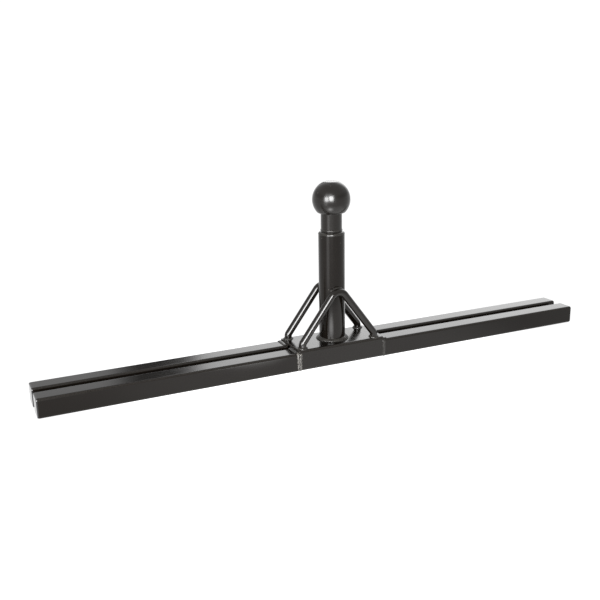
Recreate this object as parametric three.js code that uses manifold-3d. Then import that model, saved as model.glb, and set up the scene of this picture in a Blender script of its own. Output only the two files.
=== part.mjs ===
// A welded adapter bar that carries a 50 mm tow ball on a braced post.
// Two pairs of square tubes leave a long bolt slot between them, a taller box section joins the pairs
// in the middle, and a round post with two bent-rod braces stands on that section.
// Millimetres. +X runs along the bar, +Y towards the back, +Z up. The origin is under the post,
// on the flat plane that the bar rests on.
import * as THREE from "three";
import * as BufferGeometryUtils from "three/addons/utils/BufferGeometryUtils.js";
import Module from "manifold-3d";

const wasm = await Module();
wasm.setup();

// Driving dimensions of the bar.
const RAIL_SIZE = 25;
const RAIL_WALL = 2;
const RAIL_CORNER = 3;
const RAIL_LENGTH = 330;
const SLOT_WIDTH = 12;
const BLOCK_LENGTH = 126;
const BLOCK_HEIGHT = 28.5;
const BLOCK_WALL = 3;
const BLOCK_CORNER = 3.5;
const CORNER_STEPS = 5;

// Driving dimensions of the end plugs.
const PLUG_HEAD = 1.6;
const PLUG_INSET = 0.3;
const PLUG_EDGE = 0.5;
const PLUG_DEPTH = 14;
const PLUG_WALL = 2;
const PLUG_CLEARANCE = 0.3;
const SKIRT_CORNER = 1.5;

// Driving dimensions of the post and the ball.
const POST_RADIUS = 17.5;
const POST_BORE = 14.3;
const POST_TOP = 172.7;
const POST_RIM = 0.6;
const ROUND_SIDES = 48;
const FOOT_SIDES = 28;
const BALL_RADIUS = 25;
const BALL_CENTRE = 217.3;
const BALL_FLAT = 23.4;
const BALL_UNDERSIDE = 17.5;
const BALL_FILLET = 4;
const NECK_RADIUS = 14;
const NECK_FILLET = 1.2;
const SHANK_DEPTH = 60;
const SHANK_CHAMFER = 1.5;

// Driving dimensions of the braces, which were tacked on a little to the left of the post's centre.
const ROD_RADIUS = 5;
const ROD_SIDES = 24;
const ROD_GAP = 0.3;
const BRACE_APEX = 105.4;
const BRACE_FOOT = 53.5;
const BRACE_ELBOW = 34.4;
const BRACE_SHIFT = -2;
const APEX_BEND = 12;
const FOOT_BEND = 7;
const BEND_STEP = THREE.MathUtils.degToRad(9);

// Driving dimensions of the welds.
const BASE_WELD_LEG = 5;
const NECK_WELD_FOOT = 171.6;
const FOOT_WELD_LEG = 2.4;
const APEX_WELD_RADIUS = 3.4;
const SEAM_CROWN = 1.3;
const SEAM_STEP_WIDTH = 9.5;
const SEAM_STEP_CROWN = 2.45;
const SEAM_MARGIN = 0.6;
const CUT_GAP = 0.02;

const barHalfDepth = SLOT_WIDTH / 2 + RAIL_SIZE;
const railCentreY = SLOT_WIDTH / 2 + RAIL_SIZE / 2;
const blockHalfLength = BLOCK_LENGTH / 2;
const railCentreX = blockHalfLength + RAIL_LENGTH / 2;
const braceY = POST_RADIUS + ROD_GAP + ROD_RADIUS;

const SIDES = [
  { name: "left", sign: -1, seamWidth: 8.2 },
  { name: "right", sign: 1, seamWidth: 4.8 },
];
const ROWS = [
  { name: "front", sign: -1 },
  { name: "rear", sign: 1 },
];

const FINISHES = {
  black_coat: { color: 0x17171a, roughness: 0.3, metalness: 0 },
  coated_weld: { color: 0x1c1c1e, roughness: 0.38, metalness: 0 },
  black_plastic: { color: 0x18181a, roughness: 0.2, metalness: 0 },
};

const part = new THREE.Group();
part.name = "tow_ball_adapter_bar";

function addMesh(name, geometry, finish) {
  const mesh = new THREE.Mesh(geometry, new THREE.MeshStandardMaterial(FINISHES[finish]));
  mesh.name = name;
  part.add(mesh);
  return mesh;
}

// Booleans

function toSolid(geometry) {
  const bare = geometry.clone();
  bare.deleteAttribute("normal");
  bare.deleteAttribute("uv");
  const merged = BufferGeometryUtils.mergeVertices(bare, 1e-4);
  const vertProperties = new Float32Array(merged.attributes.position.array);
  const triVerts = new Uint32Array(merged.index.array);
  return new wasm.Manifold(new wasm.Mesh({ numProp: 3, vertProperties, triVerts }));
}

function toGeometry(solid) {
  const { vertProperties, triVerts } = solid.getMesh();
  const geometry = new THREE.BufferGeometry();
  geometry.setAttribute("position", new THREE.BufferAttribute(new Float32Array(vertProperties), 3));
  geometry.setIndex(new THREE.BufferAttribute(new Uint32Array(triVerts), 1));
  geometry.computeVertexNormals();
  return geometry;
}

function largestPiece(solid) {
  const pieces = solid.decompose();
  pieces.sort((a, b) => b.volume() - a.volume());
  return pieces[0];
}

// Shapes shared by several sub-parts

// A rectangle with rounded corners, centred on (x, y).
function roundedRectangle(path, x, y, width, height, radius, clockwise = false) {
  const w = width / 2 - radius;
  const h = height / 2 - radius;
  const corners = [
    [x + w, y + h, 0],
    [x - w, y + h, 90],
    [x - w, y - h, 180],
    [x + w, y - h, 270],
  ];
  const points = [];
  for (const [cx, cy, start] of corners) {
    for (let step = 0; step <= CORNER_STEPS; step += 1) {
      const angle = THREE.MathUtils.degToRad(start + (90 * step) / CORNER_STEPS);
      points.push(new THREE.Vector2(cx + radius * Math.cos(angle), cy + radius * Math.sin(angle)));
    }
  }
  if (clockwise) points.reverse();
  path.setFromPoints(points);
  return path;
}

// Extrudes a section drawn in Y and Z along X, centred on the origin.
function alongX(shape, length) {
  const geometry = new THREE.ExtrudeGeometry(shape, { depth: length, bevelEnabled: false });
  geometry.translate(0, 0, -length / 2);
  geometry.applyMatrix4(new THREE.Matrix4().makeBasis(
    new THREE.Vector3(0, 1, 0),
    new THREE.Vector3(0, 0, 1),
    new THREE.Vector3(1, 0, 0),
  ));
  return geometry;
}

// A tube of rectangular section along X, standing on the plane Z = 0.
function boxTube(length, width, height, wall, corner) {
  const section = roundedRectangle(new THREE.Shape(), 0, height / 2, width, height, corner);
  const inner = roundedRectangle(
    new THREE.Path(), 0, height / 2, width - 2 * wall, height - 2 * wall, corner - wall * 0.7, true,
  );
  section.holes.push(inner);
  return alongX(section, length);
}

// Turns a profile of [radius, height] points about the Z axis.
function turned(profile, sides = ROUND_SIDES) {
  const points = profile.map(([radius, height]) => new THREE.Vector2(radius, height));
  const geometry = new THREE.LatheGeometry(points, sides);
  geometry.rotateX(Math.PI / 2);
  return geometry;
}

function arcPoints(cx, cy, radius, startDegrees, endDegrees, steps) {
  const points = [];
  for (let step = 0; step <= steps; step += 1) {
    const angle = THREE.MathUtils.degToRad(startDegrees + ((endDegrees - startDegrees) * step) / steps);
    points.push([cx + radius * Math.cos(angle), cy + radius * Math.sin(angle)]);
  }
  return points;
}

// A path through fixed stations, so that bends get close stations and straights get few.
class StationPath extends THREE.Curve {
  constructor(stations) {
    super();
    this.stations = stations;
  }

  getPointAt(u, target = new THREE.Vector3()) {
    const place = u * (this.stations.length - 1);
    const index = Math.min(Math.floor(place), this.stations.length - 2);
    return target.lerpVectors(this.stations[index], this.stations[index + 1], place - index);
  }

  getTangentAt(u, target = new THREE.Vector3()) {
    const last = this.stations.length - 1;
    const index = Math.round(u * last);
    const before = this.stations[Math.max(index - 1, 0)];
    const after = this.stations[Math.min(index + 1, last)];
    const here = this.stations[index];
    const arriving = index > 0 ? here.clone().sub(before).normalize() : new THREE.Vector3();
    const leaving = index < last ? after.clone().sub(here).normalize() : new THREE.Vector3();
    return target.copy(arriving).add(leaving).normalize();
  }
}

// Replaces each inner corner of a flat polyline with an arc of its own radius.
function bentStations(corners, radii) {
  const stations = [corners[0]];
  for (let i = 1; i < corners.length - 1; i += 1) {
    const towardsLast = corners[i - 1].clone().sub(corners[i]).normalize();
    const towardsNext = corners[i + 1].clone().sub(corners[i]).normalize();
    const half = towardsLast.angleTo(towardsNext) / 2;
    const bisector = towardsLast.clone().add(towardsNext).normalize();
    const radius = radii[i - 1];
    const centre = corners[i].clone().addScaledVector(bisector, radius / Math.sin(half));
    const start = corners[i].clone().addScaledVector(towardsLast, radius / Math.tan(half)).sub(centre);
    const end = corners[i].clone().addScaledVector(towardsNext, radius / Math.tan(half)).sub(centre);
    const axis = start.clone().cross(end).normalize();
    const sweep = start.angleTo(end);
    const steps = Math.max(3, Math.ceil(sweep / BEND_STEP));
    for (let step = 0; step <= steps; step += 1) {
      stations.push(start.clone().applyAxisAngle(axis, (sweep * step) / steps).add(centre));
    }
  }
  stations.push(corners[corners.length - 1]);
  return stations;
}

function swept(stations, section) {
  return new THREE.ExtrudeGeometry(section, {
    steps: stations.length - 1,
    bevelEnabled: false,
    extrudePath: new StationPath(stations),
  });
}

function ellipseSection(radiusX, radiusY, sides) {
  const points = [];
  for (let side = 0; side < sides; side += 1) {
    const angle = (2 * Math.PI * side) / sides;
    points.push(new THREE.Vector2(radiusX * Math.cos(angle), radiusY * Math.sin(angle)));
  }
  return new THREE.Shape(points);
}

// The bar

function railGeometry(side, row) {
  const geometry = boxTube(RAIL_LENGTH, RAIL_SIZE, RAIL_SIZE, RAIL_WALL, RAIL_CORNER);
  geometry.translate(side.sign * railCentreX, row.sign * railCentreY, 0);
  return geometry;
}

function blockGeometry() {
  return boxTube(BLOCK_LENGTH, 2 * barHalfDepth, BLOCK_HEIGHT, BLOCK_WALL, BLOCK_CORNER);
}

// A push-in plug: a square head with eased edges over the tube's end, and a hollow skirt inside it.
function plugGeometry(side, row) {
  const head = RAIL_SIZE - 2 * (PLUG_INSET + PLUG_EDGE);
  const skirt = RAIL_SIZE - 2 * (RAIL_WALL + PLUG_CLEARANCE);
  const headSection = roundedRectangle(
    new THREE.Shape(), 0, 0, head, head, RAIL_CORNER - PLUG_INSET - PLUG_EDGE,
  );
  const headGeometry = new THREE.ExtrudeGeometry(headSection, {
    depth: PLUG_HEAD - 2 * PLUG_EDGE,
    bevelThickness: PLUG_EDGE,
    bevelSize: PLUG_EDGE,
    bevelSegments: 2,
  });
  headGeometry.translate(0, 0, PLUG_EDGE);
  const skirtSection = roundedRectangle(new THREE.Shape(), 0, 0, skirt, skirt, SKIRT_CORNER);
  skirtSection.holes.push(roundedRectangle(
    new THREE.Path(), 0, 0, skirt - 2 * PLUG_WALL, skirt - 2 * PLUG_WALL, SKIRT_CORNER / 2, true,
  ));
  const skirtGeometry = new THREE.ExtrudeGeometry(skirtSection, {
    depth: PLUG_DEPTH + PLUG_HEAD / 2,
    bevelEnabled: false,
  });
  skirtGeometry.translate(0, 0, -PLUG_DEPTH);
  const geometry = toGeometry(toSolid(headGeometry).add(toSolid(skirtGeometry)));
  geometry.rotateY((side.sign * Math.PI) / 2);
  geometry.translate(
    side.sign * (blockHalfLength + RAIL_LENGTH), row.sign * railCentreY, RAIL_SIZE / 2,
  );
  return geometry;
}

// The post, the ball and the braces

function postGeometry() {
  return turned([
    [POST_BORE, BLOCK_HEIGHT],
    [POST_RADIUS, BLOCK_HEIGHT],
    [POST_RADIUS, POST_TOP - POST_RIM],
    [POST_RADIUS - POST_RIM, POST_TOP],
    [POST_BORE, POST_TOP],
    [POST_BORE, BLOCK_HEIGHT],
  ]);
}

function ballGeometry() {
  const filletY = BALL_CENTRE - BALL_UNDERSIDE + BALL_FILLET;
  const filletDrop = BALL_UNDERSIDE - BALL_FILLET;
  const filletX = Math.sqrt((BALL_RADIUS - BALL_FILLET) ** 2 - filletDrop ** 2);
  const lowAngle = -THREE.MathUtils.radToDeg(Math.atan2(filletDrop, filletX));
  const highAngle = THREE.MathUtils.radToDeg(Math.asin(BALL_FLAT / BALL_RADIUS));
  const underside = BALL_CENTRE - BALL_UNDERSIDE;
  return turned([
    [0, POST_TOP - SHANK_DEPTH],
    [NECK_RADIUS - SHANK_CHAMFER, POST_TOP - SHANK_DEPTH],
    [NECK_RADIUS, POST_TOP - SHANK_DEPTH + SHANK_CHAMFER],
    ...arcPoints(NECK_RADIUS + NECK_FILLET, underside - NECK_FILLET, NECK_FILLET, 180, 90, 2),
    ...arcPoints(filletX, filletY, BALL_FILLET, -90, lowAngle, 3),
    ...arcPoints(0, BALL_CENTRE, BALL_RADIUS, lowAngle, 0, 8).slice(1),
    ...arcPoints(0, BALL_CENTRE, BALL_RADIUS, 0, highAngle, 10).slice(1),
    [0, BALL_CENTRE + BALL_FLAT],
  ]);
}

function braceStations(row) {
  const y = row.sign * braceY;
  const corners = [
    new THREE.Vector3(BRACE_SHIFT - BRACE_FOOT, y, BLOCK_HEIGHT),
    new THREE.Vector3(BRACE_SHIFT - BRACE_FOOT, y, BRACE_ELBOW),
    new THREE.Vector3(BRACE_SHIFT, y, BRACE_APEX),
    new THREE.Vector3(BRACE_SHIFT + BRACE_FOOT, y, BRACE_ELBOW),
    new THREE.Vector3(BRACE_SHIFT + BRACE_FOOT, y, BLOCK_HEIGHT),
  ];
  return bentStations(corners, [FOOT_BEND, APEX_BEND, FOOT_BEND]);
}

function braceGeometry(row, radius = ROD_RADIUS) {
  return swept(braceStations(row), ellipseSection(radius, radius, ROD_SIDES));
}

// The welds

function baseWeldGeometry() {
  const crown = BASE_WELD_LEG * 0.56;
  return turned([
    [POST_RADIUS, BLOCK_HEIGHT],
    [POST_RADIUS + BASE_WELD_LEG, BLOCK_HEIGHT],
    [POST_RADIUS + BASE_WELD_LEG * 0.93, BLOCK_HEIGHT + BASE_WELD_LEG * 0.22],
    [POST_RADIUS + crown, BLOCK_HEIGHT + crown],
    [POST_RADIUS + BASE_WELD_LEG * 0.22, BLOCK_HEIGHT + BASE_WELD_LEG * 0.93],
    [POST_RADIUS, BLOCK_HEIGHT + BASE_WELD_LEG],
    [POST_RADIUS, BLOCK_HEIGHT],
  ]);
}

// Two runs of weld around the neck: one covers the tube's rim, one climbs the neck.
function neckWeldGeometry() {
  const neck = toSolid(ballGeometry());
  const post = toSolid(postGeometry());
  const ring = toSolid(turned([
    [NECK_RADIUS - 0.5, POST_TOP - 2],
    [POST_RADIUS + 0.25, NECK_WELD_FOOT],
    [POST_RADIUS + 0.1, POST_TOP - 0.2],
    [POST_RADIUS - 0.7, POST_TOP + 0.7],
    [POST_RADIUS - 2.2, POST_TOP + 1.6],
    [NECK_RADIUS + 0.7, POST_TOP + 2.6],
    [NECK_RADIUS + 0.5, POST_TOP + 4.6],
    [NECK_RADIUS + 0.25, POST_TOP + 5.8],
    [NECK_RADIUS - 0.5, POST_TOP + 6.2],
    [NECK_RADIUS - 0.5, POST_TOP - 2],
  ]));
  return toGeometry(largestPiece(ring.subtract(post).subtract(neck)));
}

// A ring of weld around one foot of a brace, cut to the rod's bend.
function footWeldGeometry(side, row) {
  const leg = FOOT_WELD_LEG;
  const ring = turned([
    [0, BLOCK_HEIGHT],
    [ROD_RADIUS + leg, BLOCK_HEIGHT],
    [ROD_RADIUS + leg * 0.9, BLOCK_HEIGHT + leg * 0.28],
    [ROD_RADIUS + leg * 0.52, BLOCK_HEIGHT + leg * 0.62],
    [ROD_RADIUS + leg * 0.12, BLOCK_HEIGHT + leg],
    [0, BLOCK_HEIGHT + leg],
  ], FOOT_SIDES);
  ring.translate(BRACE_SHIFT + side.sign * BRACE_FOOT, row.sign * braceY, 0);
  const rod = toSolid(braceGeometry(row, ROD_RADIUS + CUT_GAP));
  const longRod = rod.add(rod.translate([0, 0, -1]));
  return toGeometry(largestPiece(toSolid(ring).subtract(longRod)));
}

// A curved bead that lies in the groove between the top of a brace and the post.
function apexWeldGeometry(row) {
  const reach = 9;
  const bedRadius = APEX_BEND + ROD_RADIUS * 0.75;
  const bendCentre = BRACE_APEX - APEX_BEND / Math.cos(Math.atan2(BRACE_APEX - BRACE_ELBOW, BRACE_FOOT));
  const y = row.sign * (POST_RADIUS + ROD_GAP + ROD_RADIUS * 0.3);
  const stations = [];
  for (let x = -reach; x <= reach; x += reach / 6) {
    const z = bendCentre + Math.sqrt(bedRadius ** 2 - x ** 2);
    stations.push(new THREE.Vector3(BRACE_SHIFT + x, y, z));
  }
  const bead = toSolid(swept(stations, ellipseSection(APEX_WELD_RADIUS, APEX_WELD_RADIUS, 14)));
  const rod = toSolid(braceGeometry(row, ROD_RADIUS + CUT_GAP));
  const post = new THREE.CylinderGeometry(
    POST_RADIUS + CUT_GAP, POST_RADIUS + CUT_GAP, POST_TOP, ROUND_SIDES,
  );
  post.rotateX(Math.PI / 2);
  post.translate(0, 0, POST_TOP / 2);
  return toGeometry(largestPiece(bead.subtract(rod).subtract(toSolid(post))));
}

// The bead that joins a rail to the block: up the outer face, round the corner and over the top,
// where it fills the step between the rail and the taller block.
function seamWeldGeometry(side, row) {
  const x = side.sign * (blockHalfLength + 0.4);
  const face = row.sign * barHalfDepth;
  const inwards = -row.sign;
  const turn = RAIL_CORNER + 2;
  const upright = bentStations([
    new THREE.Vector3(x, face, SEAM_MARGIN),
    new THREE.Vector3(x, face, RAIL_SIZE + 1),
    new THREE.Vector3(x, face + inwards * turn * 2, RAIL_SIZE + 1),
  ], [turn]);
  const uprightSolid = toSolid(swept(upright, sectionAcross(side.seamWidth / 2, SEAM_CROWN)));
  const stepX = x + side.sign * SEAM_STEP_CROWN * 0.4;
  const over = [
    new THREE.Vector3(stepX, face + inwards * RAIL_CORNER, RAIL_SIZE + 1),
    new THREE.Vector3(stepX, face + inwards * (RAIL_SIZE - SEAM_MARGIN), RAIL_SIZE + 1),
  ];
  const overSolid = toSolid(swept(over, sectionAcross(SEAM_STEP_WIDTH / 2, SEAM_STEP_CROWN)));
  const block = toSolid(blockSlug(CUT_GAP));
  const rail = toSolid(railSlug(side, row, CUT_GAP));
  return toGeometry(largestPiece(uprightSolid.add(overSolid).subtract(block).subtract(rail)));
}

// An ellipse whose wide axis is laid across the seam by the sweep, if the path starts along Y or Z.
function sectionAcross(halfWidth, crown) {
  return ellipseSection(crown, halfWidth, 16);
}

// Solid outlines of the block and of a rail, used to cut the beads to them.
function blockSlug(gap) {
  const size = 2 * (barHalfDepth + gap);
  const section = roundedRectangle(
    new THREE.Shape(), 0, BLOCK_HEIGHT / 2, size, BLOCK_HEIGHT + 2 * gap, BLOCK_CORNER,
  );
  return alongX(section, BLOCK_LENGTH + 2 * gap);
}

function railSlug(side, row, gap) {
  const section = roundedRectangle(
    new THREE.Shape(), 0, RAIL_SIZE / 2, RAIL_SIZE + 2 * gap, RAIL_SIZE + 2 * gap, RAIL_CORNER,
  );
  const geometry = alongX(section, RAIL_LENGTH);
  geometry.translate(side.sign * railCentreX, row.sign * railCentreY, 0);
  return geometry;
}

// Assembly

addMesh("centre_block", blockGeometry(), "black_coat");
addMesh("post_tube", postGeometry(), "black_coat");
addMesh("tow_ball", ballGeometry(), "black_coat");
addMesh("weld_post_base", baseWeldGeometry(), "coated_weld");
addMesh("weld_ball_neck", neckWeldGeometry(), "coated_weld");
for (const row of ROWS) {
  addMesh(`${row.name}_brace`, braceGeometry(row), "black_coat");
  addMesh(`weld_apex_${row.name}`, apexWeldGeometry(row), "coated_weld");
  for (const side of SIDES) {
    addMesh(`${row.name}_rail_${side.name}`, railGeometry(side, row), "black_coat");
    addMesh(`end_plug_${row.name}_${side.name}`, plugGeometry(side, row), "black_plastic");
    addMesh(`weld_foot_${row.name}_${side.name}`, footWeldGeometry(side, row), "coated_weld");
    addMesh(`weld_seam_${row.name}_${side.name}`, seamWeldGeometry(side, row), "coated_weld");
  }
}

export default part;
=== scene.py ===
import math

import bmesh
import bpy
from mathutils import Matrix, Vector


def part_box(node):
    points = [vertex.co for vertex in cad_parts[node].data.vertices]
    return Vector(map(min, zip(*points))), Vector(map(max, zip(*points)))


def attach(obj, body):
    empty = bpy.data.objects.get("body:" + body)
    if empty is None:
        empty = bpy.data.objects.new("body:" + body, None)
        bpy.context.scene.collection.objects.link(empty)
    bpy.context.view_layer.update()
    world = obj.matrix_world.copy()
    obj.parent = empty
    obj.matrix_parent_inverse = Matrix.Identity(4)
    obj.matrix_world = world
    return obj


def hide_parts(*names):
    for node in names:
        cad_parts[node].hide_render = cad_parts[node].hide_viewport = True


# A welded adapter bar: paired square tubes, a box section between them, a braced post and a tow ball.
# Metres. +X runs along the bar, +Y towards the back, +Z up, with the origin under the post.

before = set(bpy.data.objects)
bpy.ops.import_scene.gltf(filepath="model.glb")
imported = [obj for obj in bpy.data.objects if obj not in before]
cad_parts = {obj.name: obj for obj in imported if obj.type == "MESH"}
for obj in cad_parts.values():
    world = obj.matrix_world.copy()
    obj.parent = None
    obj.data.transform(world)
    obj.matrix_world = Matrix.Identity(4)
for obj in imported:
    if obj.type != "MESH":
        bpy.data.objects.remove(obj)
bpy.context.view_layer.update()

MM = 0.001
SIDES = {"left": -1, "right": 1}
ROWS = {"front": -1, "rear": 1}

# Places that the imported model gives.
BLOCK_LOW, BLOCK_HIGH = (Vector(corner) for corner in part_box("centre_block"))
POST_LOW, POST_HIGH = (Vector(corner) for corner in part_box("post_tube"))
BALL_LOW, BALL_HIGH = (Vector(corner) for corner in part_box("tow_ball"))
RAIL_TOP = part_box("front_rail_left")[1][2]
BLOCK_TOP = BLOCK_HIGH.z
BLOCK_END = BLOCK_HIGH.x
BAR_FACE = BLOCK_HIGH.y
POST_RADIUS = POST_HIGH.x
POST_TOP = POST_HIGH.z
BALL_RADIUS = BALL_HIGH.x

# Sizes of the sections, in metres.
RAIL_WALL = 2 * MM
RAIL_CORNER = 3 * MM
BLOCK_WALL = 3 * MM
BLOCK_CORNER = 3.5 * MM
CUT_EASE = 0.35 * MM
POST_BORE = 14.3 * MM
NECK_RADIUS = 14 * MM
BALL_FLAT = 23.4 * MM
BALL_UNDERSIDE = 17.5 * MM
ROD_RADIUS = 5 * MM
CREASE_ANGLE = math.radians(35)


# Colours

def linear(code):
    """A linear colour with full alpha from an sRGB hex code."""
    parts = [int(code[i:i + 2], 16) / 255 for i in (1, 3, 5)]
    return tuple(p / 12.92 if p <= 0.04045 else ((p + 0.055) / 1.055) ** 2.4 for p in parts) + (1.0,)


def add_node(tree, kind, settings=None, links=None):
    """Adds a node. A setting is a property of the node or the value of an input. A link feeds an input."""
    made = tree.nodes.new(kind)
    for key, value in (settings or {}).items():
        if isinstance(key, str) and hasattr(made, key):
            setattr(made, key, value)
        else:
            made.inputs[key].default_value = value
    for key, source in (links or {}).items():
        tree.links.new(source, made.inputs[key])
    return made


def new_material(name):
    material = bpy.data.materials.new(name)
    material.use_nodes = True
    material.node_tree.nodes.clear()
    return material, material.node_tree


# Materials

def coated_steel(name, peel_depth, roughness_low, roughness_high, ior):
    """Black polyester powder coat, sprayed and baked on mild steel: semi-gloss, with the faint orange peel
    of flowed powder, and thinner and greyer where it draws back from sharp edges."""
    peel_size = 2.2 * MM
    grit_size = 0.5 * MM
    speck_size = 15 * MM
    cloud_size = 60 * MM
    material, tree = new_material(name)
    place = add_node(tree, "ShaderNodeTexCoord").outputs["Object"]
    cloud = add_node(tree, "ShaderNodeTexNoise", {"Scale": 1 / cloud_size, "Detail": 3}, {"Vector": place})
    grit = add_node(tree, "ShaderNodeTexNoise", {"Scale": 1 / grit_size, "Detail": 2}, {"Vector": place})
    peel = add_node(tree, "ShaderNodeTexNoise", {"Scale": 1 / peel_size, "Detail": 2}, {"Vector": place})
    edge = add_node(tree, "ShaderNodeAttribute", {"attribute_name": "edge"})
    patchy = add_node(tree, "ShaderNodeMapRange",
                      {"From Min": 0.42, "From Max": 0.62, "To Min": 0.0, "To Max": 0.5},
                      {"Value": grit.outputs["Fac"]})
    worn = add_node(tree, "ShaderNodeMath", {"operation": "MULTIPLY"},
                    {0: edge.outputs["Fac"], 1: patchy.outputs["Result"]})
    specks = add_node(tree, "ShaderNodeTexVoronoi", {"Scale": 1 / speck_size}, {"Vector": place})
    dusty = add_node(tree, "ShaderNodeMapRange",
                     {"From Min": 0.02, "From Max": 0.045, "To Min": 0.3, "To Max": 0.0},
                     {"Value": specks.outputs["Distance"]})
    body = add_node(tree, "ShaderNodeMix",
                    {"data_type": "RGBA", 6: linear("#060403"), 7: linear("#0a0806")},
                    {0: cloud.outputs["Fac"]})
    edged = add_node(tree, "ShaderNodeMix", {"data_type": "RGBA", 7: linear("#3d3a36")},
                     {0: worn.outputs[0], 6: body.outputs[2]})
    colour = add_node(tree, "ShaderNodeMix", {"data_type": "RGBA", 7: linear("#625e58")},
                      {0: dusty.outputs["Result"], 6: edged.outputs[2]})
    gloss = add_node(tree, "ShaderNodeMapRange",
                     {"From Min": 0.3, "From Max": 0.7, "To Min": roughness_low, "To Max": roughness_high},
                     {"Value": cloud.outputs["Fac"]})
    bump = add_node(tree, "ShaderNodeBump", {"Strength": 0.5, "Distance": peel_depth},
                    {"Height": peel.outputs["Fac"]})
    shader = add_node(tree, "ShaderNodeBsdfPrincipled", {"IOR": ior, "Metallic": 0.0},
                      {"Base Color": colour.outputs[2], "Roughness": gloss.outputs["Result"],
                       "Normal": bump.outputs["Normal"]})
    add_node(tree, "ShaderNodeOutputMaterial", {}, {"Surface": shader.outputs["BSDF"]})
    return material


def weld_coat(name, bare_share, scale_depth):
    """The same powder coat over a weld bead: glossier on the crowns, with scale and spatter under it.
    A share of the crowns is left with so thin a coat that grey steel shows."""
    scale_size = 1.6 * MM
    lump_size = 5 * MM
    patch_size = 2.4 * MM
    material, tree = new_material(name)
    place = add_node(tree, "ShaderNodeTexCoord").outputs["Object"]
    lumps = add_node(tree, "ShaderNodeTexNoise", {"Scale": 1 / lump_size, "Detail": 2}, {"Vector": place})
    scales = add_node(tree, "ShaderNodeTexNoise", {"Scale": 1 / scale_size, "Detail": 3}, {"Vector": place})
    patches = add_node(tree, "ShaderNodeTexNoise", {"Scale": 1 / patch_size, "Detail": 2},
                       {"Vector": place})
    bare = add_node(tree, "ShaderNodeMapRange",
                    {"From Min": 0.42, "From Max": 0.58, "To Min": 0.0, "To Max": bare_share},
                    {"Value": patches.outputs["Fac"]})
    coat = add_node(tree, "ShaderNodeMix",
                    {"data_type": "RGBA", 6: linear("#0a0908"), 7: linear("#171512")},
                    {0: lumps.outputs["Fac"]})
    body = add_node(tree, "ShaderNodeMix", {"data_type": "RGBA", 7: linear("#565450")},
                    {0: bare.outputs["Result"], 6: coat.outputs[2]})
    gloss = add_node(tree, "ShaderNodeMapRange",
                     {"From Min": 0.3, "From Max": 0.7, "To Min": 0.16, "To Max": 0.34},
                     {"Value": lumps.outputs["Fac"]})
    bump = add_node(tree, "ShaderNodeBump", {"Strength": 0.6, "Distance": scale_depth},
                    {"Height": scales.outputs["Fac"]})
    shader = add_node(tree, "ShaderNodeBsdfPrincipled", {"IOR": 1.38, "Metallic": 0.0},
                      {"Base Color": body.outputs[2], "Roughness": gloss.outputs["Result"],
                       "Normal": bump.outputs["Normal"]})
    add_node(tree, "ShaderNodeOutputMaterial", {}, {"Surface": shader.outputs["BSDF"]})
    return material


def moulded_plastic():
    """Black polyethylene, injection moulded in a polished die: glossy, faintly mottled."""
    grain_size = 0.6 * MM
    cloud_size = 12 * MM
    material, tree = new_material("black_plastic")
    place = add_node(tree, "ShaderNodeTexCoord").outputs["Object"]
    cloud = add_node(tree, "ShaderNodeTexNoise", {"Scale": 1 / cloud_size, "Detail": 3}, {"Vector": place})
    grain = add_node(tree, "ShaderNodeTexNoise", {"Scale": 1 / grain_size, "Detail": 1}, {"Vector": place})
    body = add_node(tree, "ShaderNodeMix",
                    {"data_type": "RGBA", 6: linear("#151516"), 7: linear("#1f1f20")},
                    {0: cloud.outputs["Fac"]})
    gloss = add_node(tree, "ShaderNodeMapRange",
                     {"From Min": 0.3, "From Max": 0.7, "To Min": 0.06, "To Max": 0.1},
                     {"Value": cloud.outputs["Fac"]})
    bump = add_node(tree, "ShaderNodeBump", {"Strength": 0.3, "Distance": 0.05 * MM},
                    {"Height": grain.outputs["Fac"]})
    shader = add_node(tree, "ShaderNodeBsdfPrincipled", {"IOR": 1.5, "Metallic": 0.0},
                      {"Base Color": body.outputs[2], "Roughness": gloss.outputs["Result"],
                       "Normal": bump.outputs["Normal"]})
    add_node(tree, "ShaderNodeOutputMaterial", {}, {"Surface": shader.outputs["BSDF"]})
    return material


TUBE_COAT = coated_steel("black_coat", 0.035 * MM, 0.11, 0.17, 1.3)
BLOCK_COAT = coated_steel("block_coat", 0.06 * MM, 0.16, 0.22, 1.33)
ROD_COAT = coated_steel("rod_coat", 0.012 * MM, 0.11, 0.16, 1.38)
BALL_COAT = coated_steel("ball_coat", 0.012 * MM, 0.19, 0.23, 1.4)
WELD_COAT = weld_coat("coated_weld", 0.05, 0.06 * MM)
SMOOTH_WELD_COAT = weld_coat("smooth_coated_weld", 0.03, 0.01 * MM)
THIN_WELD_COAT = weld_coat("thinly_coated_weld", 0.5, 0.25 * MM)
PLASTIC = moulded_plastic()


# Mesh helpers

def make_piece(name, points, faces, material, edge=None):
    """A smooth-shaded piece at the origin, with creased edges and an edge-wear value on each point."""
    mesh = bpy.data.meshes.new(name)
    mesh.from_pydata([tuple(p) for p in points], [], faces)
    mesh.validate()
    wear = mesh.attributes.new("edge", "FLOAT", "POINT")
    wear.data.foreach_set("value", edge or [0.0] * len(points))
    form = bmesh.new()
    form.from_mesh(mesh)
    bmesh.ops.recalc_face_normals(form, faces=form.faces)
    form.to_mesh(mesh)
    form.free()
    mesh.polygons.foreach_set("use_smooth", [True] * len(mesh.polygons))
    mesh.set_sharp_from_angle(angle=CREASE_ANGLE)
    mesh.materials.append(material)
    piece = bpy.data.objects.new(name, mesh)
    bpy.context.scene.collection.objects.link(piece)
    return piece


def keep(piece, node):
    """Puts a finished piece in the place of its CAD node."""
    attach(piece, "root")
    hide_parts(node)


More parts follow.
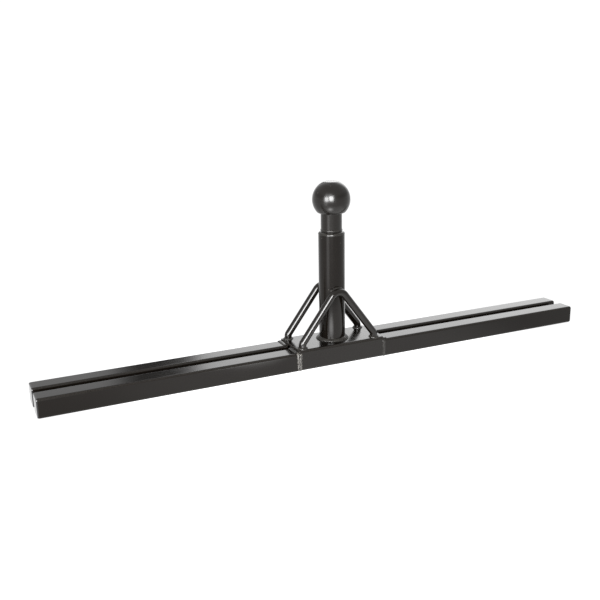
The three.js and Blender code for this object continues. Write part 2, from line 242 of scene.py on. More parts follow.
def join_loops(loops, closed):
    """Quads between loops of equal length, and the points in one list."""
    count = len(loops[0])
    points = [p for loop in loops for p in loop]
    faces = []
    for i in range(len(loops) if closed else len(loops) - 1):
        a = i * count
        b = ((i + 1) % len(loops)) * count
        for j in range(count):
            k = (j + 1) % count
            faces.append((a + j, a + k, b + k, b + j))
    return points, faces


def rounded_outline(low, high, corner, steps=9):
    """Points (y, z) round a rectangle with rounded corners, and a wear value that peaks on each corner.
    A point just outside each arc keeps the flats shading flat."""
    corners = [
        (high[0] - corner, high[1] - corner, 0),
        (low[0] + corner, high[1] - corner, 90),
        (low[0] + corner, low[1] + corner, 180),
        (high[0] - corner, low[1] + corner, 270),
    ]
    margin = 0.2 * MM
    corner_wear = 0.35
    outline = []
    wear = []
    for y, z, start in corners:
        a = math.radians(start)
        out_y, out_z = round(math.cos(a)), round(math.sin(a))
        arc_points = [
            (y + corner * math.cos(a + math.pi / 2 * step / steps),
             z + corner * math.sin(a + math.pi / 2 * step / steps))
            for step in range(steps + 1)
        ]
        before = (arc_points[0][0] + margin * out_z, arc_points[0][1] - margin * out_y)
        after = (arc_points[-1][0] - margin * out_y, arc_points[-1][1] - margin * out_z)
        outline += [before, *arc_points, after]
        wear += [0.0, *(corner_wear * math.sin(math.pi * step / steps) for step in range(steps + 1)), 0.0]
    return outline, wear


def shrink(low, high, by):
    return (low[0] + by, low[1] + by), (high[0] - by, high[1] - by)


def box_tube(name, low, high, wall, corner, coat):
    """A rectangular tube along X, open at both ends, with its cut edges eased."""
    low_yz = (low[1], low[2])
    high_yz = (high[1], high[2])
    least_inner_corner = 0.6 * MM
    stations = [
        (low[0], CUT_EASE), (low[0] + CUT_EASE, 0.0),
        (high[0] - CUT_EASE, 0.0), (high[0], CUT_EASE),
    ]
    loops = []
    wear = []
    for x, inset in stations:
        outline, corner_wear = rounded_outline(*shrink(low_yz, high_yz, inset), corner - inset)
        loops.append([(x, y, z) for y, z in outline])
        wear += [max(value, 1.0) if inset else value for value in corner_wear]
    for x in (high[0], low[0]):
        inner, _ = rounded_outline(*shrink(low_yz, high_yz, wall), max(corner - wall, least_inner_corner))
        loops.append([(x, y, z) for y, z in inner])
        wear += [0.0] * len(inner)
    points, faces = join_loops(loops, closed=True)
    return make_piece(name, points, faces, coat, wear)


def turned(name, profile, material, closed=True):
    """A profile of (radius, height) points turned about Z. An open profile gets a flat cap at each end."""
    sides = 160
    loops = []
    for radius, height in profile:
        loops.append([
            (radius * math.cos(2 * math.pi * i / sides), radius * math.sin(2 * math.pi * i / sides), height)
            for i in range(sides)
        ])
    points, faces = join_loops(loops, closed=closed)
    if not closed:
        faces.append(tuple(range(sides)))
        faces.append(tuple(range(len(points) - sides, len(points))))
    return make_piece(name, points, faces, material)


def arc(centre, radius, start, end, steps):
    return [
        (centre[0] + radius * math.cos(math.radians(start + (end - start) * i / steps)),
         centre[1] + radius * math.sin(math.radians(start + (end - start) * i / steps)))
        for i in range(steps + 1)
    ]


def bent_path(corners, radii):
    """A polyline whose inner corners are replaced by arcs."""
    step_degrees = 4
    path = [corners[0]]
    for before, corner, after, radius in zip(corners, corners[1:], corners[2:], radii):
        to_last = (before - corner).normalized()
        to_next = (after - corner).normalized()
        half = to_last.angle(to_next) / 2
        centre = corner + (to_last + to_next).normalized() * (radius / math.sin(half))
        start = corner + to_last * (radius / math.tan(half)) - centre
        end = corner + to_next * (radius / math.tan(half)) - centre
        axis = start.cross(end).normalized()
        sweep = start.angle(end)
        steps = max(4, math.ceil(math.degrees(sweep) / step_degrees))
        for i in range(steps + 1):
            path.append(centre + Matrix.Rotation(sweep * i / steps, 3, axis) @ start)
    path.append(corners[-1])
    return path


# The bar

def rail(row, side):
    node = f"{row}_rail_{side}"
    low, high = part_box(node)
    keep(box_tube(f"{node}_tube", low, high, RAIL_WALL, RAIL_CORNER, TUBE_COAT), node)


def centre_block():
    piece = box_tube("centre_block_box", BLOCK_LOW, BLOCK_HIGH, BLOCK_WALL, BLOCK_CORNER, BLOCK_COAT)
    keep(piece, "centre_block")


def end_plug(row, side):
    """A plug with a flat head, eased round its edge, and a hollow skirt inside the tube."""
    node = f"end_plug_{row}_{side}"
    low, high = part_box(node)
    sign = SIDES[side]
    outer_x = high[0] if sign > 0 else low[0]
    head = 1.6 * MM
    low_yz = (low[1], low[2])
    high_yz = (high[1], high[2])
    rail_corner = RAIL_CORNER - 0.3 * MM
    skirt_inset = 2 * MM
    skirt_wall = 2 * MM
    skirt_corner = 1.5 * MM
    skirt_inner_corner = 0.8 * MM
    depth = high[0] - low[0]
    # Each section is a distance back from the outer face, an inset from the rail's outline, and a corner.
    sections = [
        (depth, skirt_inset + skirt_wall, skirt_inner_corner),
        (depth, skirt_inset, skirt_corner),
        (head, skirt_inset, skirt_corner),
        (head, 0.15 * MM, rail_corner),
        (head - 0.15 * MM, 0.0, rail_corner),
        (0.7 * MM, 0.0, rail_corner),
        (0.3 * MM, 0.18 * MM, rail_corner),
        (0.08 * MM, 0.55 * MM, rail_corner),
        (0.0, 1.1 * MM, rail_corner - 0.4 * MM),
        (0.0, 2.2 * MM, rail_corner - 1.0 * MM),
        (0.0, 9 * MM, 1.0 * MM),
    ]
    loops = []
    for back, inset, corner in sections:
        outline, _ = rounded_outline(*shrink(low_yz, high_yz, inset), corner, steps=6)
        loops.append([(outer_x - sign * back, y, z) for y, z in outline])
    bore = shrink(low_yz, high_yz, skirt_inset + skirt_wall)
    inside, _ = rounded_outline(*bore, skirt_inner_corner, steps=6)
    floor_loop = [(outer_x - sign * head, y, z) for y, z in inside]
    loops.insert(0, floor_loop)
    points, faces = join_loops(loops, closed=False)
    count = len(floor_loop)
    faces.append(tuple(range(count)))
    faces.append(tuple(range(len(points) - count, len(points))))
    keep(make_piece(f"{node}_cap", points, faces, PLASTIC), node)


# The post, the ball and the braces

def post():
    """A length of pipe with its upper rim eased."""
    rim = 0.6 * MM
    eased = 0.3 * rim
    low = POST_LOW.z
    top = POST_TOP
    profile = [
        (POST_BORE, low), (POST_RADIUS, low), (POST_RADIUS, top - 3 * rim), (POST_RADIUS, top - rim),
        (POST_RADIUS - eased, top - eased), (POST_RADIUS - rim, top), (POST_BORE, top),
    ]
    keep(turned("post_pipe", profile, TUBE_COAT), "post_tube")


def ball():
    """The ball with its flat top, its neck and the shank that stands in the post."""
    centre = BALL_HIGH.z - BALL_FLAT
    underside = centre - BALL_UNDERSIDE
    fillet = 4 * MM
    drop = centre - underside - fillet
    reach = math.sqrt((BALL_RADIUS - fillet) ** 2 - drop ** 2)
    low_angle = -math.degrees(math.atan2(drop, reach))
    flat_radius = math.sqrt(BALL_RADIUS ** 2 - BALL_FLAT ** 2)
    lip = 0.8 * MM
    high_angle = math.degrees(math.acos((flat_radius + lip * 0.8) / BALL_RADIUS))
    relief = 1.2 * MM
    shank_ease = 1.5 * MM
    cap = 4 * MM
    bottom = BALL_LOW.z
    profile = [
        (cap, bottom), (NECK_RADIUS - shank_ease, bottom), (NECK_RADIUS, bottom + shank_ease),
        *arc((NECK_RADIUS + relief, underside - relief), relief, 180, 90, 5),
        *arc((reach, underside + fillet), fillet, -90, low_angle, 8),
        *arc((0, centre), BALL_RADIUS, low_angle, high_angle, 56)[1:],
        (flat_radius - lip * 0.1, BALL_HIGH.z - 0.12 * MM),
        (flat_radius - lip, BALL_HIGH.z),
        (cap, BALL_HIGH.z),
    ]
    keep(turned("tow_ball_turned", profile, BALL_COAT, closed=False), "tow_ball")


def brace_path(row):
    low, high = (Vector(corner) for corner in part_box(f"{row}_brace"))
    y = (low.y + high.y) / 2
    middle = (low.x + high.x) / 2
    reach = (high.x - low.x) / 2 - ROD_RADIUS
    elbow_z = 34.4 * MM
    apex_z = 105.4 * MM
    foot_bend = 7 * MM
    top_bend = 12 * MM
    corners = [
        Vector((middle - reach, y, BLOCK_TOP)), Vector((middle - reach, y, elbow_z)),
        Vector((middle, y, apex_z)),
        Vector((middle + reach, y, elbow_z)), Vector((middle + reach, y, BLOCK_TOP)),
    ]
    return bent_path(corners, [foot_bend, top_bend, foot_bend])


def brace(row):
    """A round rod bent to a V upside down, with its feet turned square to the block."""
    path = brace_path(row)
    sides = 48
    loops = []
    for i, place in enumerate(path):
        before = path[max(i - 1, 0)]
        after = path[min(i + 1, len(path) - 1)]
        along = ((place - before).normalized() + (after - place).normalized()).normalized()
        across = Vector((0, 1, 0))
        outward = across.cross(along).normalized()
        loops.append([
            place + ROD_RADIUS * (math.cos(2 * math.pi * k / sides) * across
                                  + math.sin(2 * math.pi * k / sides) * outward)
            for k in range(sides)
        ])
    points, faces = join_loops(loops, closed=False)
    faces.append(tuple(range(sides)))
    faces.append(tuple(range(len(points) - sides, len(points))))
    keep(make_piece(f"{row}_brace_rod", points, faces, ROD_COAT), f"{row}_brace")


# The weld beads

def weld_tree():
    """Sweeps an oval along a curve and raises crescent ripples and slow lumps on it."""
    tree = bpy.data.node_groups.new("weld_bead", "GeometryNodeTree")
    face = tree.interface
    face.new_socket("Geometry", in_out="INPUT", socket_type="NodeSocketGeometry")
    for label, value in (("Half width", 4.5 * MM), ("Crown", 1.3 * MM), ("Pitch", 2.2 * MM),
                         ("Ripple", 0.3 * MM), ("Lump", 0.5 * MM), ("Lump size", 7 * MM),
                         ("Lean", 0.0), ("Seed", 0.0)):
        face.new_socket(label, in_out="INPUT", socket_type="NodeSocketFloat").default_value = value
    face.new_socket("Facing", in_out="INPUT", socket_type="NodeSocketVector").default_value = (0, 0, 1)
    face.new_socket("Finish", in_out="INPUT", socket_type="NodeSocketMaterial")
    face.new_socket("Geometry", in_out="OUTPUT", socket_type="NodeSocketGeometry")
    given = add_node(tree, "NodeGroupInput").outputs
    steps_per_ripple = 7.0
    sides = 28
    lump_level = 0.62
    step = add_node(tree, "ShaderNodeMath", {"operation": "DIVIDE", 1: steps_per_ripple},
                    {0: given["Pitch"]})
    path = add_node(tree, "GeometryNodeResampleCurve", {"mode": "LENGTH"},
                    {"Curve": given["Geometry"], "Length": step.outputs[0]})
    path = add_node(tree, "GeometryNodeSetCurveNormal", {"mode": "FREE"},
                    {"Curve": path.outputs["Curve"], "Normal": given["Facing"]})
    travel = add_node(tree, "GeometryNodeSplineParameter")
    path = add_node(tree, "GeometryNodeStoreNamedAttribute", {"data_type": "FLOAT", "domain": "POINT",
                                                             "Name": "travel"},
                    {"Geometry": path.outputs["Curve"], "Value": travel.outputs["Length"]})
    ring = add_node(tree, "GeometryNodeCurvePrimitiveCircle", {"Resolution": sides, "Radius": 1.0})
    spot = add_node(tree, "GeometryNodeInputPosition")
    split = add_node(tree, "ShaderNodeSeparateXYZ", {}, {"Vector": spot.outputs["Position"]})
    ring = add_node(tree, "GeometryNodeStoreNamedAttribute", {"data_type": "FLOAT", "domain": "POINT",
                                                             "Name": "across"},
                    {"Geometry": ring.outputs["Curve"], "Value": split.outputs["Y"]})
    size = add_node(tree, "ShaderNodeCombineXYZ", {"Z": 1.0},
                    {"X": given["Crown"], "Y": given["Half width"]})
    ring = add_node(tree, "GeometryNodeTransform", {},
                    {"Geometry": ring.outputs["Geometry"], "Scale": size.outputs["Vector"]})
    lean = add_node(tree, "ShaderNodeCombineXYZ", {}, {"Z": given["Lean"]})
    ring = add_node(tree, "GeometryNodeTransform", {},
                    {"Geometry": ring.outputs["Geometry"], "Rotation": lean.outputs["Vector"]})
    bead = add_node(tree, "GeometryNodeCurveToMesh", {"Fill Caps": True},
                    {"Curve": path.outputs["Geometry"], "Profile Curve": ring.outputs["Geometry"]})
    along = add_node(tree, "GeometryNodeInputNamedAttribute", {"data_type": "FLOAT", "Name": "travel"})
    across = add_node(tree, "GeometryNodeInputNamedAttribute", {"data_type": "FLOAT", "Name": "across"})
    bow = add_node(tree, "ShaderNodeMath", {"operation": "MULTIPLY"},
                   {0: across.outputs["Attribute"], 1: across.outputs["Attribute"]})
    bow_length = add_node(tree, "ShaderNodeMath", {"operation": "MULTIPLY"},
                          {0: bow.outputs[0], 1: given["Pitch"]})
    phase = add_node(tree, "ShaderNodeMath", {"operation": "ADD"},
                     {0: along.outputs["Attribute"], 1: bow_length.outputs[0]})
    turns = add_node(tree, "ShaderNodeMath", {"operation": "DIVIDE"},
                     {0: phase.outputs[0], 1: given["Pitch"]})
    half_turns = add_node(tree, "ShaderNodeMath", {"operation": "MULTIPLY", 1: math.pi},
                          {0: turns.outputs[0]})
    wave = add_node(tree, "ShaderNodeMath", {"operation": "SINE"}, {0: half_turns.outputs[0]})
    scallop = add_node(tree, "ShaderNodeMath", {"operation": "ABSOLUTE"}, {0: wave.outputs[0]})
    ripple = add_node(tree, "ShaderNodeMath", {"operation": "MULTIPLY"},
                      {0: scallop.outputs[0], 1: given["Ripple"]})
    offset = add_node(tree, "ShaderNodeCombineXYZ", {}, {"Z": given["Seed"]})
    moved = add_node(tree, "ShaderNodeVectorMath", {"operation": "ADD"},
                     {0: spot.outputs["Position"], 1: offset.outputs["Vector"]})
    lump_scale = add_node(tree, "ShaderNodeMath", {"operation": "DIVIDE", 0: 1.0}, {1: given["Lump size"]})
    lumps = add_node(tree, "ShaderNodeTexNoise", {"Detail": 1.5},
                     {"Vector": moved.outputs["Vector"], "Scale": lump_scale.outputs[0]})
    centred = add_node(tree, "ShaderNodeMath", {"operation": "SUBTRACT", 1: lump_level},
                       {0: lumps.outputs["Fac"]})
    lump = add_node(tree, "ShaderNodeMath", {"operation": "MULTIPLY"},
                    {0: centred.outputs[0], 1: given["Lump"]})
    sink = add_node(tree, "ShaderNodeMath", {"operation": "SUBTRACT"},
                    {0: ripple.outputs[0], 1: given["Ripple"]})
    rise = add_node(tree, "ShaderNodeMath", {"operation": "ADD"},
                    {0: sink.outputs[0], 1: lump.outputs[0]})
    normal = add_node(tree, "GeometryNodeInputNormal")
    push = add_node(tree, "ShaderNodeVectorMath", {"operation": "SCALE"},
                    {0: normal.outputs["Normal"], "Scale": rise.outputs[0]})
    bead = add_node(tree, "GeometryNodeSetPosition", {},
                    {"Geometry": bead.outputs["Mesh"], "Offset": push.outputs["Vector"]})
    bead = add_node(tree, "GeometryNodeSetShadeSmooth", {}, {"Geometry": bead.outputs["Geometry"]})
    bead = add_node(tree, "GeometryNodeRealizeInstances", {}, {"Geometry": bead.outputs["Geometry"]})
    bead = add_node(tree, "GeometryNodeSetMaterial", {},
                    {"Geometry": bead.outputs["Geometry"], "Material": given["Finish"]})
    add_node(tree, "NodeGroupOutput", {}, {"Geometry": bead.outputs["Geometry"]})
    return tree


WELD_TREE = weld_tree()
FILLET_LEAN = math.radians(45)
SAME_POINT = 1e-7


def spline_of(name, path, closed):
    data = bpy.data.curves.new(name, "CURVE")
    data.dimensions = "3D"
    spline = data.splines.new("POLY")
    spline.points.add(len(path) - 1)
    for point, place in zip(spline.points, path):
        point.co = (*place, 1.0)
    spline.use_cyclic_u = closed
    holder = bpy.data.objects.new(name, data)
    bpy.context.scene.collection.objects.link(holder)
    return holder


def bead(name, path, sizes, closed=False, finish=WELD_COAT):
    """A rippled bead along a path, turned into a plain mesh."""
    holder = spline_of(f"{name}_path", path, closed)
    modifier = holder.modifiers.new("bead", "NODES")
    modifier.node_group = WELD_TREE
    inputs = {item.name: item.identifier for item in WELD_TREE.interface.items_tree
              if item.in_out == "INPUT"}
    for label, value in sizes.items():
        modifier[inputs[label]] = value
    modifier[inputs["Finish"]] = finish
    bpy.context.view_layer.update()
    seen = holder.evaluated_get(bpy.context.evaluated_depsgraph_get())
    mesh = bpy.data.meshes.new_from_object(seen)
    curve = holder.data
    bpy.data.objects.remove(holder)
    bpy.data.curves.remove(curve)
    mesh.name = name
    mesh.materials.clear()
    mesh.materials.append(finish)
    form = bmesh.new()
    form.from_mesh(mesh)
    bmesh.ops.remove_doubles(form, verts=form.verts, dist=SAME_POINT)
    bmesh.ops.recalc_face_normals(form, faces=form.faces)
    form.to_mesh(mesh)
    form.free()
    return mesh


def weld_piece(name, node, meshes):
    """Joins one or more beads, each with its own finish, into the piece that stands for a weld node."""
    finishes = []
    form = bmesh.new()
    for mesh in meshes:
        finish = mesh.materials[0]
        if finish not in finishes:
            finishes.append(finish)
        mesh.polygons.foreach_set("material_index", [finishes.index(finish)] * len(mesh.polygons))
        form.from_mesh(mesh)
    joined = bpy.data.meshes.new(name)
    form.to_mesh(joined)
    form.free()
    for mesh in meshes:
        bpy.data.meshes.remove(mesh)
    joined.polygons.foreach_set("use_smooth", [True] * len(joined.polygons))
    for finish in finishes:
        joined.materials.append(finish)
    piece = bpy.data.objects.new(name, joined)
    bpy.context.scene.collection.objects.link(piece)
    keep(piece, node)


def ring_path(centre, radius, steps=72, stretch=0.0, stretch_angle=0.0):
    """A ring. A stretch makes it wider along an angle and narrower across it."""
    path = []
    for i in range(steps):
        angle = 2 * math.pi * i / steps
        reach = radius + stretch * math.cos(2 * (angle - stretch_angle))
        path.append(Vector(centre) + Vector((reach * math.cos(angle), reach * math.sin(angle), 0)))
    return path


def post_base_weld():
    """A fillet that was laid thicker at two sides of the post."""
    lift = 1.1 * MM
    stand_off = 1.3 * MM
    path = ring_path((0, 0, BLOCK_TOP + lift), POST_RADIUS + stand_off, stretch=0.9 * MM,
                     stretch_angle=math.radians(-25))
    sizes = {"Half width": 3.9 * MM, "Crown": 1.6 * MM, "Pitch": 3.0 * MM, "Ripple": 0.3 * MM,
             "Lump": 1.8 * MM, "Lump size": 10 * MM, "Lean": FILLET_LEAN, "Seed": 3.0}
    weld_piece("post_base_bead", "weld_post_base", [bead("post_base_bead", path, sizes, closed=True)])


def ball_neck_weld():
    """Two runs: one over the pipe's rim, one above it on the neck."""
    rim_lift = 0.2 * MM
    rim_inset = 2.1 * MM
    neck_lift = 4.6 * MM
    neck_sink = 0.7 * MM
    rim_path = ring_path((0, 0, POST_TOP + rim_lift), POST_RADIUS - rim_inset)
    rim_sizes = {"Half width": 2.6 * MM, "Crown": 1.8 * MM, "Pitch": 2.4 * MM, "Ripple": 0.04 * MM,
                 "Lump": 0.12 * MM, "Lump size": 9 * MM, "Lean": FILLET_LEAN, "Seed": 1.0}
    neck_path = ring_path((0, 0, POST_TOP + neck_lift), NECK_RADIUS - neck_sink)
    neck_sizes = {**rim_sizes, "Half width": 1.35 * MM, "Crown": 1.35 * MM, "Seed": 2.0}
    weld_piece("ball_neck_bead", "weld_ball_neck", [
        bead("rim_bead", rim_path, rim_sizes, closed=True, finish=SMOOTH_WELD_COAT),
        bead("neck_bead", neck_path, neck_sizes, closed=True, finish=SMOOTH_WELD_COAT),
    ])


def foot_weld(row, side):
    """A small fillet round the foot of a brace."""
    node = f"weld_foot_{row}_{side}"
    low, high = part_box(node)
    lift = 0.5 * MM
    stand_off = 0.5 * MM
    centre = ((low[0] + high[0]) / 2, (low[1] + high[1]) / 2, BLOCK_TOP + lift)
    sizes = {"Half width": 2.2 * MM, "Crown": 1.2 * MM, "Pitch": 2.2 * MM, "Ripple": 0.25 * MM,
             "Lump": 0.9 * MM, "Lump size": 5 * MM, "Lean": FILLET_LEAN,
             "Seed": ROWS[row] * 2.0 + SIDES[side]}
    path = ring_path(centre, ROD_RADIUS + stand_off, steps=40)
    weld_piece(f"{node}_bead", node, [bead(node, path, sizes, closed=True)])


def apex_weld(row):
    """A bead along the groove between the top of the brace and the post."""
    node = f"weld_apex_{row}"
    low, high = (Vector(corner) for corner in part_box(node))
    sign = ROWS[row]
    middle = (low.x + high.x) / 2
    end_inset = 1.6 * MM
    stand_off = 1.6 * MM
    drop = 3.2 * MM
    sag = 3.2 * MM
    bow = 0.2 * MM
    half_steps = 10
    reach = (high.x - low.x) / 2 - end_inset
    y = sign * (POST_RADIUS + stand_off)
    top = high.z - drop
    path = [
        Vector((middle + reach * t, y + sign * bow * t * t, top - sag * t * t))
        for t in (i / half_steps for i in range(-half_steps, half_steps + 1))
    ]
    sizes = {"Half width": 2.8 * MM, "Crown": 2.8 * MM, "Pitch": 2.6 * MM, "Ripple": 0.35 * MM,
             "Lump": 1.6 * MM, "Lump size": 5 * MM, "Seed": 5.0 + sign}
    weld_piece(f"{node}_bead", node, [bead(node, path, sizes)])


def seam_weld(row, side):
    """Beads up the outer face and round the corner, and one over the rail against the taller block.
    The left seams were run twice, side by side."""
    node = f"weld_seam_{row}_{side}"
    sign = ROWS[row]
    facing = SIDES[side]
    x = facing * (BLOCK_END + 0.4 * MM)
    face = sign * BAR_FACE
    foot_z = 1.0 * MM
    corner_z = RAIL_TOP + 0.3 * MM
    corner_bend = 4 * MM
    corner_run = 8 * MM
    foot_spread = 0.6
    half_gap = 1.95 * MM
    sizes = {"Half width": 2.1 * MM, "Crown": 1.15 * MM, "Pitch": 2.2 * MM, "Ripple": 0.4 * MM,
             "Lump": 1.0 * MM, "Lump size": 5 * MM, "Lean": math.pi / 2, "Facing": (1, 0, 0)}
    offsets = (-half_gap, half_gap)
    finish = THIN_WELD_COAT
    if side == "right":
        sizes.update({"Crown": 0.85 * MM, "Ripple": 0.15 * MM, "Lump": 0.5 * MM})
        offsets = (0.0,)
        finish = WELD_COAT
    meshes = []
    for run, offset in enumerate(offsets):
        upright = bent_path([
            Vector((x + foot_spread * offset, face, foot_z)),
            Vector((x + offset, face, corner_z)),
            Vector((x + offset, face - sign * corner_run, corner_z)),
        ], [corner_bend])
        run_sizes = {**sizes, "Seed": facing * 3.0 + sign + run * 0.7}
        meshes.append(bead(f"{node}_up_{run}", upright, run_sizes, finish=finish))
    over_x = x + facing * 1.4 * MM
    over_z = RAIL_TOP + 0.4 * MM
    over = [
        Vector((over_x, face - sign * t * MM, over_z))
        for t in (3, 6, 10, 14, 18, 21, 24.2)
    ]
    over_sizes = {**sizes, "Half width": 4.2 * MM, "Crown": 1.1 * MM, "Pitch": 2.8 * MM,
                  "Ripple": 0.08 * MM, "Lump": 0.6 * MM, "Lump size": 9 * MM,
                  "Seed": facing * 2.0 + sign}
    meshes.append(bead(f"{node}_over", over, over_sizes, finish=SMOOTH_WELD_COAT))
    weld_piece(f"{node}_bead", node, meshes)


# Stage, light and camera

def light_pattern(tree, values, steps, sums):
    """Wires a pattern of brightness from named values, and gives back the last sum.
    A step is (name, source, start, end, low, high): low before start, high past end, smooth between.
    A sum is (name, operation, first, second), and its second term is a name or a number."""
    for name, source, start, end, low, high in steps:
        step = add_node(tree, "ShaderNodeMapRange",
                        {"interpolation_type": "SMOOTHSTEP", "From Min": start, "From Max": end,
                         "To Min": low, "To Max": high},
                        {"Value": values[source]})
        values[name] = step.outputs["Result"]
    for name, operation, first, second in sums:
        settings = {"operation": operation}
        links = {0: values[first]}
        if isinstance(second, str):
            links[1] = values[second]
        else:
            settings[1] = second
        values[name] = add_node(tree, "ShaderNodeMath", settings, links).outputs[0]
    return values[sums[-1][0]]


def compass(tree, split):
    """The direction of a point or a ray about Z in degrees: 0 is +Y and it turns towards +X."""
    turn = add_node(tree, "ShaderNodeMath", {"operation": "ARCTAN2"},
                    {0: split.outputs["X"], 1: split.outputs["Y"]})
    return add_node(tree, "ShaderNodeMath", {"operation": "DEGREES"}, {0: turn.outputs[0]}).outputs[0]


def floor():
    """A white floor that glows evenly. Four parts of it glow brighter as painted pools of light, so that the
    paint has something to mirror:
    a pool before the bar, a small hot spot in it, and a band and a patch that run out to the front left."""
    size = 40.0
    drop = 0.5 * MM
    hot_spot = (-0.1, -0.145, 0)
    mesh = bpy.data.meshes.new("floor")
    mesh.from_pydata([(-size, -size, 0), (size, -size, 0), (size, size, 0), (-size, size, 0)],
                     [], [(0, 1, 2, 3)])
    material, tree = new_material("white_floor")
    place = add_node(tree, "ShaderNodeTexCoord").outputs["Object"]
    split = add_node(tree, "ShaderNodeSeparateXYZ", {}, {"Vector": place})
    from_spot = add_node(tree, "ShaderNodeVectorMath", {"operation": "DISTANCE", 1: hot_spot},
                         {0: place})
    from_post = add_node(tree, "ShaderNodeVectorMath", {"operation": "DISTANCE", 1: (0, 0, 0)},
                         {0: place})
    values = {
        "x": split.outputs["X"],
        "y": split.outputs["Y"],
        "turn": compass(tree, split),
        "from spot": from_spot.outputs["Value"],
        "from post": from_post.outputs["Value"],
    }
    # Distances are in metres and turns in degrees.
    pool_sums = [
        ("x from pool", "ADD", "x", 0.02),
        ("beside pool", "ABSOLUTE", "x from pool", 0.0),
        ("y from pool", "ADD", "y", 0.1),
        ("before pool", "ABSOLUTE", "y from pool", 0.0),
    ]
    light_pattern(tree, values, [], pool_sums)
    # The pool, the hot spot, the band and the patch are painted light: glow added on top of the floor's even
    # glow of 1.0.
    steps = [
        ("pool across", "beside pool", 0.17, 0.37, 0.8, 0.0),
        ("pool along", "before pool", 0.12, 0.25, 1.0, 0.0),
        ("spot", "from spot", 0.015, 0.08, 8.5, 0.0),
        ("band start", "turn", -138, -126, 0.0, 1.0),
        ("band end", "turn", -116, -104, 2.1, 0.0),
        ("band near", "from post", 0.35, 0.45, 0.0, 1.0),
        ("patch start", "turn", -170, -160, 0.0, 1.0),
        ("patch end", "turn", -138, -128, 1.0, 0.0),
        ("patch near", "from post", 0.85, 0.98, 0.0, 1.6),
        ("patch far", "from post", 1.1, 1.25, 1.0, 0.0),
    ]
    sums = [
        ("pool", "MULTIPLY", "pool across", "pool along"),
        ("band sector", "MULTIPLY", "band start", "band end"),
        ("band", "MULTIPLY", "band sector", "band near"),
        ("patch sector", "MULTIPLY", "patch start", "patch end"),
        ("patch inner", "MULTIPLY", "patch sector", "patch near"),
        ("patch", "MULTIPLY", "patch inner", "patch far"),
        ("pool and spot", "ADD", "pool", "spot"),
        ("band and patch", "ADD", "band", "patch"),
        ("painted light", "ADD", "pool and spot", "band and patch"),
        ("glow", "ADD", "painted light", 1.0),
    ]
    shader = add_node(tree, "ShaderNodeBsdfPrincipled",
                      {"Base Color": (0.04, 0.04, 0.04, 1), "Roughness": 1.0, "Specular IOR Level": 0.0,
                       "Emission Color": (1, 1, 1, 1)},
                      {"Emission Strength": light_pattern(tree, values, steps, sums)})
    add_node(tree, "ShaderNodeOutputMaterial", {}, {"Surface": shader.outputs["BSDF"]})
    mesh.materials.append(material)
    plane = bpy.data.objects.new("floor", mesh)
    plane.location.z = -drop
    bpy.context.scene.collection.objects.link(plane)


def direction(azimuth, elevation):
    """A unit vector. Azimuth 0 is +Y and turns towards +X, in degrees."""
    a = math.radians(azimuth)
    e = math.radians(elevation)
    return Vector((math.sin(a) * math.cos(e), math.cos(a) * math.cos(e), math.sin(e)))


def sky():
    """A white studio. Behind the bar it has a bright panel to the right, a dark gap beside the panel, and
    a slightly lifted stretch to the left of the gap."""
    world = bpy.data.worlds.new("studio")
    bpy.context.scene.world = world
    world.use_nodes = True
    tree = world.node_tree
    tree.nodes.clear()
    way = add_node(tree, "ShaderNodeSeparateXYZ", {},
                   {"Vector": add_node(tree, "ShaderNodeTexCoord").outputs["Generated"]})
    values = {"height": way.outputs["Z"], "turn": compass(tree, way)}
    # Heights are the sine of the elevation, and turns are in degrees.
    steps = [
        ("above floor", "height", 0.08, 0.18, 0.0, 1.0),
        ("low sky", "height", 0.08, 0.22, 1.06, 0.66),
        ("high sky", "height", 0.3, 0.6, 0.0, 0.3),
        ("left start", "turn", -15, 0.0, 0.0, 1.0),
        ("gap start", "turn", 10.5, 12.5, 0.0, 1.0),
        ("panel start", "turn", 16.2, 18.0, 0.0, 1.0),
        ("panel end", "turn", 38, 70, 1.0, 0.0),
        ("below top", "height", 0.55, 0.85, 1.0, 0.0),
    ]
    sums = [
        ("base", "ADD", "low sky", "high sky"),
        ("gap sector", "SUBTRACT", "gap start", "panel start"),
        ("gap above", "MULTIPLY", "gap sector", "above floor"),
        ("gap", "MULTIPLY", "gap above", "below top"),
        ("left sector", "SUBTRACT", "left start", "gap start"),
        ("left", "MULTIPLY", "left sector", "above floor"),
        ("left lift", "MULTIPLY", "left", 0.55),
        ("left level", "ADD", "left lift", 1.0),
        ("gap shade", "MULTIPLY", "gap", -0.85),
        ("shade", "ADD", "gap shade", "left level"),
        ("shaded base", "MULTIPLY", "base", "shade"),
        ("panel sector", "MULTIPLY", "panel start", "panel end"),
        ("panel rise", "MULTIPLY", "above floor", "below top"),
        ("panel", "MULTIPLY", "panel sector", "panel rise"),
        ("panel lift", "MULTIPLY", "panel", 2.42),
        ("total", "ADD", "shaded base", "panel lift"),
    ]
    shine = add_node(tree, "ShaderNodeBackground", {"Color": (1, 1, 1, 1)},
                     {"Strength": light_pattern(tree, values, steps, sums)})
    add_node(tree, "ShaderNodeOutputWorld", {}, {"Surface": shine.outputs["Background"]})


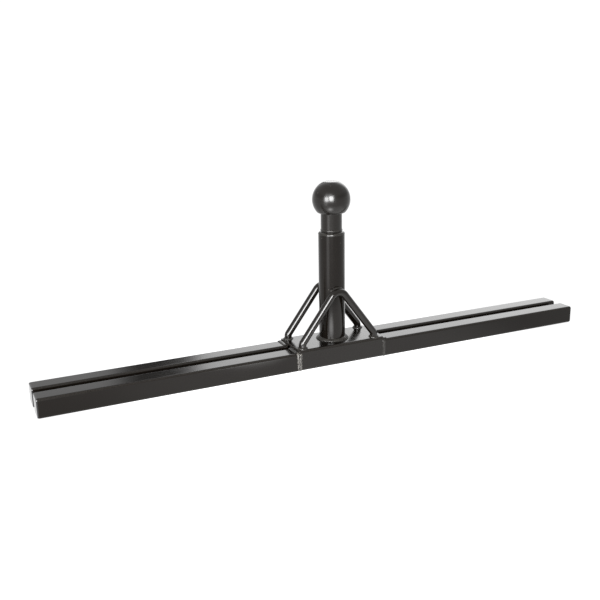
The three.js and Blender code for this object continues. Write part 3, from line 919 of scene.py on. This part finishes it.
def softbox(name, target, azimuth, elevation, distance, width, height, radiance):
    """A rectangular light that faces the target from a direction, with a given surface radiance."""
    light = bpy.data.lights.new(name, "AREA")
    light.shape = "RECTANGLE"
    light.size = width
    light.size_y = height
    light.energy = radiance * math.pi * width * height
    lamp = bpy.data.objects.new(name, light)
    bpy.context.scene.collection.objects.link(lamp)
    away = direction(azimuth, elevation)
    lamp.location = target + away * distance
    lamp.rotation_euler = away.to_track_quat("Z", "Y").to_euler()


def lights():
    """Two softboxes that make the highlights on the ball and the rods, and a dim one above them."""
    target = Vector((0, 0, BALL_HIGH.z - BALL_FLAT))
    distance = 2.2
    # Each box: name, azimuth, elevation, width, height, radiance.
    for name, azimuth, elevation, width, height, radiance in (
        ("key_box", 206, 11.5, 0.9, 1.1, 38.0),
        ("side_box", 234.5, 7, 0.85, 1.0, 28.0),
        ("fill_box", 225, 24, 1.5, 1.1, 3.0),
    ):
        softbox(name, target, azimuth, elevation, distance, width, height, radiance)


def camera():
    """A camera before the bar and to its left, looking slightly down."""
    lens = 48.864
    sensor_width = 36.0
    sight_limit = 200.0
    place = (-0.4821, -0.9384, 0.3791)
    azimuth, elevation, roll = (math.radians(angle) for angle in (-24.86, 15.74, -1.05))
    data = bpy.data.cameras.new("camera")
    data.sensor_fit = "HORIZONTAL"
    data.sensor_width = sensor_width
    data.lens = lens
    data.clip_end = sight_limit
    back = Vector((math.sin(azimuth) * math.cos(elevation), -math.cos(azimuth) * math.cos(elevation),
                   math.sin(elevation)))
    level_right = Vector((0, 0, 1)).cross(back).normalized()
    level_up = back.cross(level_right)
    right = math.cos(roll) * level_right + math.sin(roll) * level_up
    up = -math.sin(roll) * level_right + math.cos(roll) * level_up
    turn = Matrix((right, up, back)).transposed().to_4x4()
    holder = bpy.data.objects.new("camera", data)
    holder.matrix_world = Matrix.Translation(place) @ turn
    bpy.context.scene.collection.objects.link(holder)
    bpy.context.scene.camera = holder


camera()
floor()
sky()
lights()
bpy.context.scene.view_settings.view_transform = "Standard"

centre_block()
post()
ball()
post_base_weld()
ball_neck_weld()
for row in ROWS:
    brace(row)
    apex_weld(row)
    for side in SIDES:
        rail(row, side)
        end_plug(row, side)
        foot_weld(row, side)
        seam_weld(row, side)
